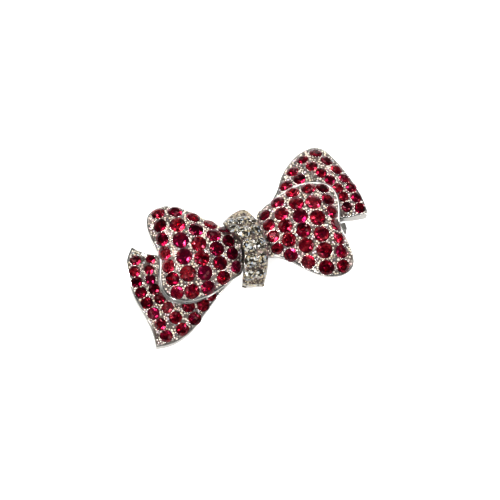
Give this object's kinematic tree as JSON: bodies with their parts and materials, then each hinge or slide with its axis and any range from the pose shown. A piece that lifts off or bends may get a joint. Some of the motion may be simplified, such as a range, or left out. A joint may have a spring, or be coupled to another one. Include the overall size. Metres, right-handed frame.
{
  "type": "bow brooch",
  "caption": "Small bow brooch: puffed heart-shaped loops and ribbon tails paved with round red stones, a band of clear stones over the middle and a pin behind.",
  "frame": {"origin": "middle of the bow, on the surface that the brooch lies on", "axes": "+X runs along the loops to the right one, +Y to the upper side of the knot, +Z out of the front of the brooch"},
  "size_m": [0.0448, 0.0319, 0.0124],
  "materials": {
    "white_metal": "polished white gold, bright edges and side walls",
    "ruby": "cut and polished",
    "diamond": "cut and polished"
  },
  "bodies": {
    "root": {"left_loop": "white_metal", "right_loop": "white_metal", "left_tail": "white_metal", "right_tail": "white_metal", "knot": "white_metal", "pin_back": "white_metal", "left_loop_rubies": "ruby", "right_loop_rubies": "ruby", "left_tail_rubies": "ruby", "right_tail_rubies": "ruby", "knot_diamonds": "diamond"}
  },
  "joints": []
}
